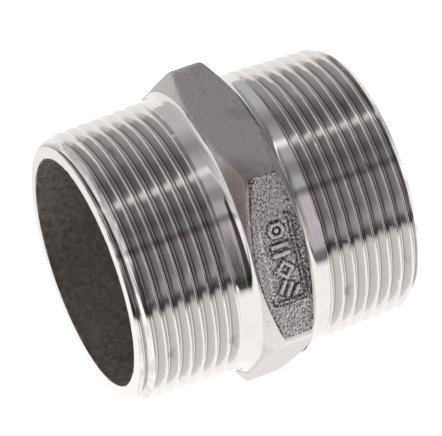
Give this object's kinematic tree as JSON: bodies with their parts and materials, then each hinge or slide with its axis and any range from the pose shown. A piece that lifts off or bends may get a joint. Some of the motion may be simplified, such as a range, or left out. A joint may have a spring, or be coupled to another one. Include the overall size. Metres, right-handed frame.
{
  "type": "hex nipple",
  "caption": "Short metal pipe nipple: a taper-threaded male end on each side of a chamfered wrench hexagon, with a bore right through.",
  "frame": {"origin": "centre of the bore, half way between the two end faces", "axes": "X along the bore, +Z out of one wrench flat, the hexagon's corners on +Y and -Y"},
  "size_m": [0.052, 0.0568, 0.05],
  "materials": {
    "stainless_steel": "turned and threaded bright on the ends, blasted as-cast on the hexagon"
  },
  "bodies": {
    "root": {"nipple_body": "stainless_steel"}
  },
  "joints": []
}
